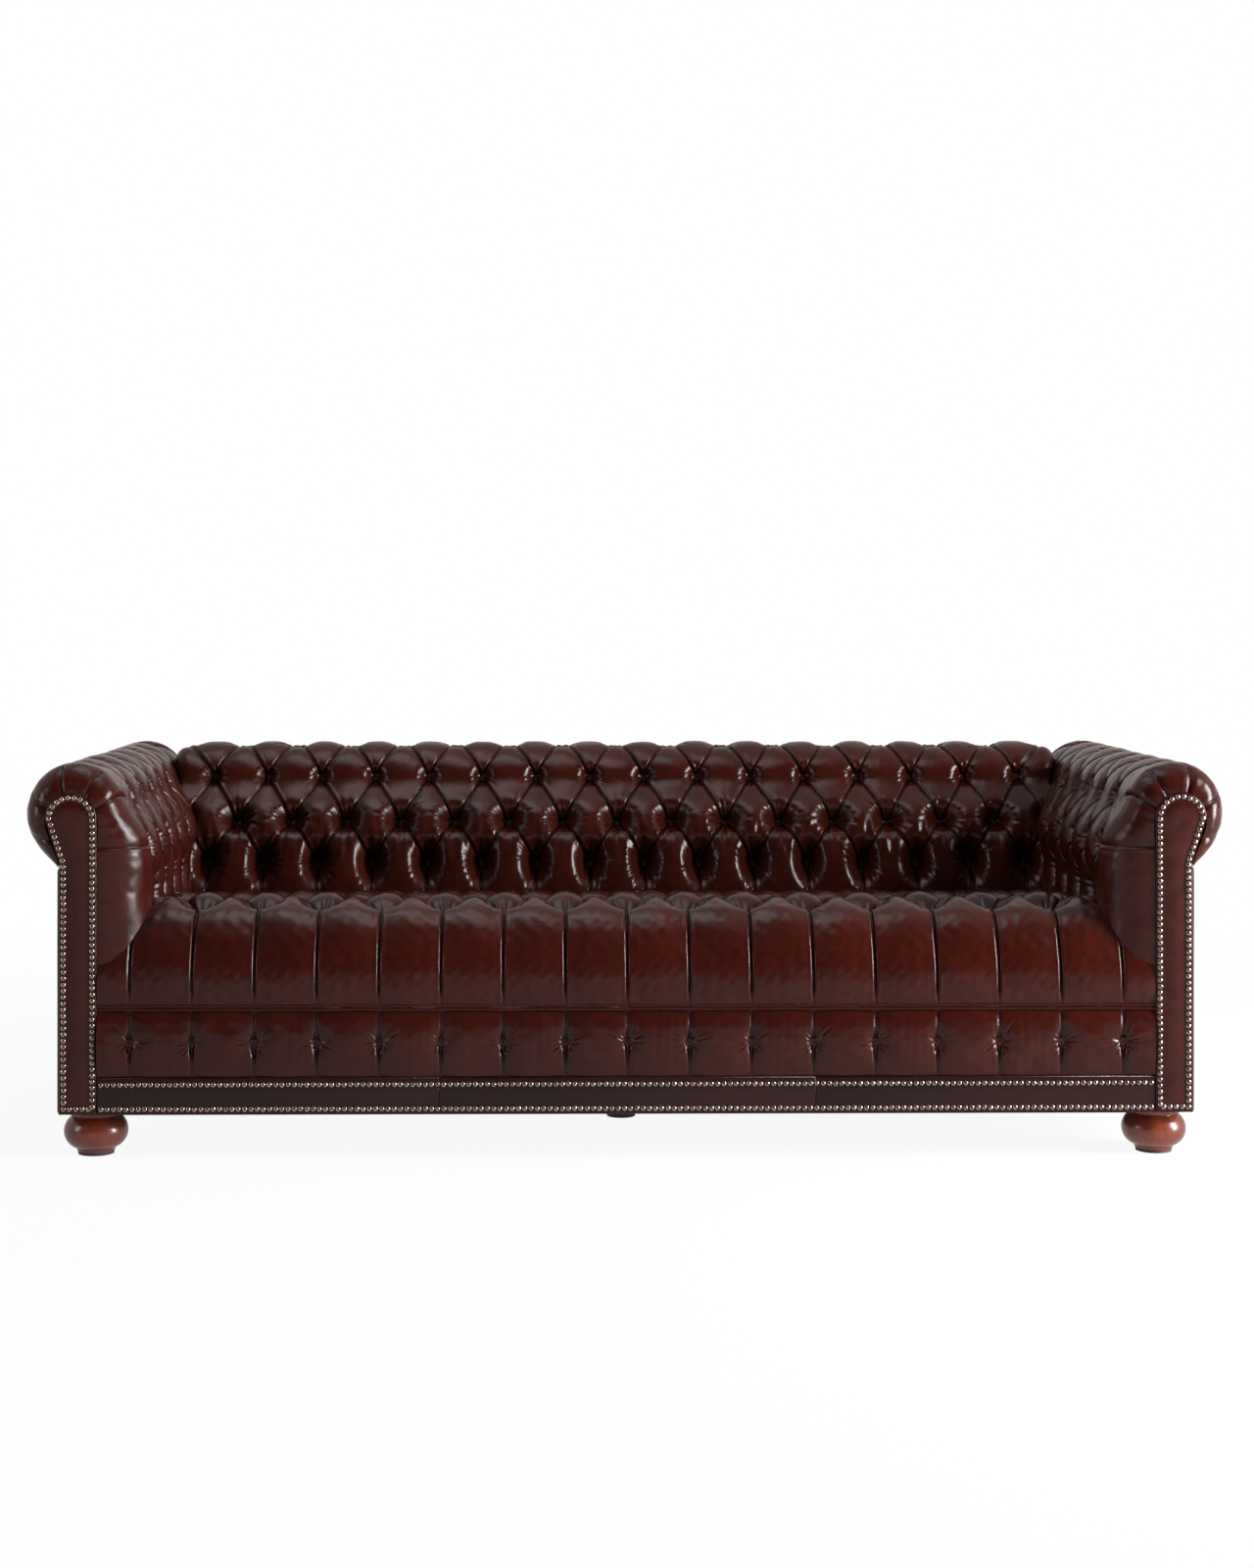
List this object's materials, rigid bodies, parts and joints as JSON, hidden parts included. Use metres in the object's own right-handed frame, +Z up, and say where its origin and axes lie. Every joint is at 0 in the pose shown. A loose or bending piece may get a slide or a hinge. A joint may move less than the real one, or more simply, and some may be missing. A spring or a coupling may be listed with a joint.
{
  "type": "chesterfield sofa",
  "caption": "Chesterfield sofa with deep-buttoned back, rolled arms and tight tufted seat in gloss oxblood leather, nailed arm fronts and base, on turned bun feet.",
  "frame": {"origin": "centre of the footprint, on the floor", "axes": "+X along the sofa to the right of someone facing it, +Y towards its back, +Z up"},
  "size_m": [2.3364, 0.952, 0.7628],
  "materials": {
    "leather": "waxed, high gloss, oxblood with lighter rub-off",
    "button_leather": "waxed, high gloss, oxblood",
    "nail_brass": "antique, lightly tarnished",
    "frame_wood": "planed beech, unfinished",
    "foot_wood": "turned, mahogany stain, gloss lacquer",
    "stuffing": "foam and fibre",
    "webbing": "woven jute",
    "spring_steel": "oil-tempered wire",
    "zinc_steel": "zinc plated",
    "glide_plastic": "hard black",
    "dust_cloth": "black non-woven"
  },
  "bodies": {
    "root": {"arm_buttons_left": "button_leather", "arm_buttons_right": "button_leather", "arm_cover_left": "leather", "arm_cover_right": "leather", "arm_facing_left": "leather", "arm_facing_right": "leather", "arm_foam_left": "stuffing", "arm_foam_right": "stuffing", "arm_posts": "frame_wood", "arm_roll_rails": "frame_wood", "arm_tacking_rails": "frame_wood", "arm_uprights": "frame_wood", "arm_webbing": "webbing", "back_buttons": "button_leather", "back_cover": "leather", "back_foam": "stuffing", "back_rail": "frame_wood", "back_roll_rail": "frame_wood", "back_stiles": "frame_wood", "back_tacking_rail": "frame_wood", "back_webbing": "webbing", "band_nails": "nail_brass", "base_band": "leather", "border_buttons": "button_leather", "border_cover": "leather", "border_pad": "stuffing", "bun_foot_front_left": "foot_wood", "bun_foot_front_right": "foot_wood", "bun_foot_rear_left": "foot_wood", "bun_foot_rear_right": "foot_wood", "centre_foot": "foot_wood", "corner_blocks": "frame_wood", "dust_cover": "dust_cloth", "facing_nails_left": "nail_brass", "facing_nails_right": "nail_brass", "foot_blocks": "frame_wood", "foot_bolts": "zinc_steel", "foot_glides": "glide_plastic", "front_rail": "frame_wood", "front_welt": "leather", "outside_arm_left": "leather", "outside_arm_right": "leather", "outside_back": "leather", "rail_bolts": "zinc_steel", "rear_posts": "frame_wood", "rear_seat_rail": "frame_wood", "roll_end_left": "leather", "roll_end_right": "leather", "seat_braces": "frame_wood", "seat_buttons": "button_leather", "seat_corner_left": "leather", "seat_corner_right": "leather", "seat_cover": "leather", "seat_deck": "webbing", "seat_foam": "stuffing", "seat_springs": "spring_steel", "side_rails": "frame_wood", "spring_clips": "spring_steel", "tee_nuts": "zinc_steel"}
  },
  "joints": []
}
